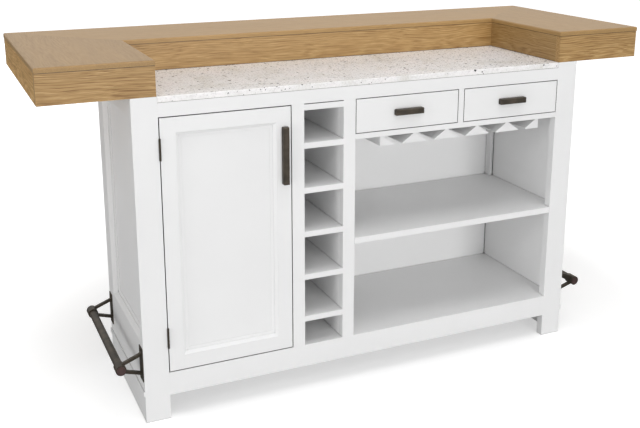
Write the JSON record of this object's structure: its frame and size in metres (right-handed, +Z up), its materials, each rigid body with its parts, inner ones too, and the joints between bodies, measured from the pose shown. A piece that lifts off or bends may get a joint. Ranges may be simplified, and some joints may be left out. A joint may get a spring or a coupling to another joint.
{
  "type": "dining bar",
  "caption": "Free-standing dining bar: painted cabinet with door, bottle rack, drawers, stemware rails and open shelves under a stone worktop, a raised oak bar top in a U and side foot rails.",
  "frame": {"origin": "centre of the bounding box, on the floor", "axes": "+X to the right seen from the serving side, +Y from the serving side towards the guests, +Z up"},
  "size_m": [2.006, 0.739, 1.092],
  "materials": {
    "white_paint": "satin white paint on wood",
    "oak": "clear satin lacquer on light oak",
    "stone": "polished speckled pale granite",
    "dark_bronze": "dark bronze, satin",
    "steel": "satin steel",
    "birch": "clear lacquer on pale birch",
    "catch": "white plastic, matt"
  },
  "bodies": {
    "cabinet": {"back_bottom_rail": "white_paint", "back_mouldings": "white_paint", "back_mullions": "white_paint", "back_panel": "white_paint", "back_top_rail": "white_paint", "base_beads": "white_paint", "bottom_board": "white_paint", "bracket_screws": "dark_bronze", "corner_batten": "white_paint", "cupboard_shelf": "white_paint", "door_catch": "catch", "drawer_deck": "white_paint", "drawer_divider": "white_paint", "drawer_guides": "birch", "drawer_rail": "white_paint", "foot_rail_brackets": "dark_bronze", "foot_rail_caps": "dark_bronze", "foot_rail_tubes": "dark_bronze", "frame_bottom_rail": "white_paint", "frame_top_rail": "white_paint", "front_stiles": "white_paint", "hinge_frame_leaves": "dark_bronze", "hinge_pins": "dark_bronze", "middle_shelf": "white_paint", "oak_back_apron": "oak", "oak_back_top": "oak", "oak_end_aprons": "oak", "oak_front_aprons": "oak", "oak_inner_aprons": "oak", "oak_inner_back_apron": "oak", "oak_soffits": "oak", "oak_wing_tops": "oak", "rack_shelves": "white_paint", "rack_stiles": "white_paint", "rack_walls": "white_paint", "rear_posts": "white_paint", "shelf_pins": "steel", "side_bottom_rails": "white_paint", "side_mouldings": "white_paint", "side_panels": "white_paint", "side_top_rails": "white_paint", "stem_rails": "white_paint", "stone_worktop": "stone", "sub_top": "white_paint"},
    "door": {"door_stiles": "white_paint", "door_rails": "white_paint", "door_panel": "white_paint", "door_moulding": "white_paint", "door_pull": "dark_bronze", "hinge_door_leaves": "dark_bronze"},
    "left_drawer": {"left_drawer_back": "birch", "left_drawer_bottom": "birch", "left_drawer_front": "white_paint", "left_drawer_pull": "dark_bronze", "left_drawer_sides": "birch"},
    "right_drawer": {"right_drawer_back": "birch", "right_drawer_bottom": "birch", "right_drawer_front": "white_paint", "right_drawer_pull": "dark_bronze", "right_drawer_sides": "birch"}
  },
  "joints": [
    {"name": "door_hinge", "type": "hinge", "parent": "cabinet", "child": "door", "pos_m": [-0.6785, -0.3568, 0.54], "axis": [0, 0, -1], "range_deg": [0, 110]},
    {"name": "left_drawer_slide", "type": "slide", "parent": "cabinet", "child": "left_drawer", "axis": [0, -1, 0], "range_m": [0, 0.3]},
    {"name": "right_drawer_slide", "type": "slide", "parent": "cabinet", "child": "right_drawer", "axis": [0, -1, 0], "range_m": [0, 0.3]}
  ]
}
